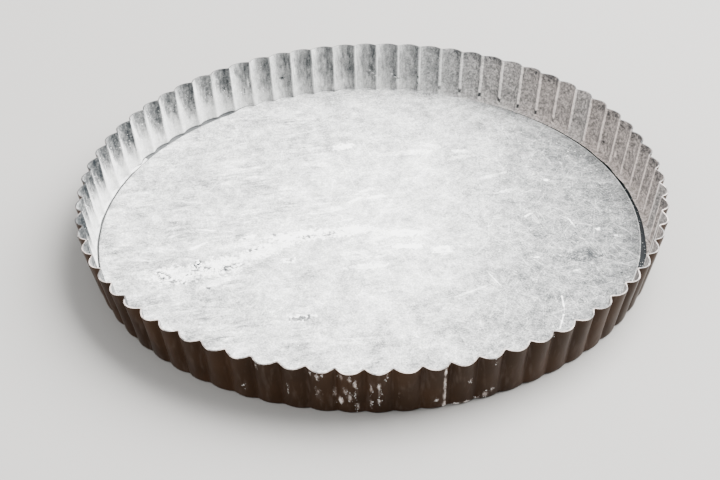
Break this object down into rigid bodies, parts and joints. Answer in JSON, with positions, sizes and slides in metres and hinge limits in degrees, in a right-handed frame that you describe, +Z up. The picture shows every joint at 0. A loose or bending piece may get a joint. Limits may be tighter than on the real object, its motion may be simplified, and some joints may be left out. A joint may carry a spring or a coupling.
{
  "type": "fluted tart tin",
  "caption": "Round shallow tart tin with a fluted sloping wall and a loose flat base that rests on an inner ledge, dusted inside with flour.",
  "frame": {"origin": "middle of the foot, on the plane that the tin rests on", "axes": "+Z up, out of the open top; +X through a ridge of the wall; the tin was seen from near -Y"},
  "size_m": [0.2798, 0.2798, 0.0266],
  "materials": {
    "nonstick_coating": "dark satin non-stick coating on sheet steel, floured on the inside",
    "floured_steel": "dark coated sheet steel under a matte dusting of flour, scratched through in fine lines",
    "flour": "matte powder"
  },
  "bodies": {
    "root": {"fluted_ring": "nonstick_coating", "loose_base": "floured_steel"}
  },
  "joints": []
}
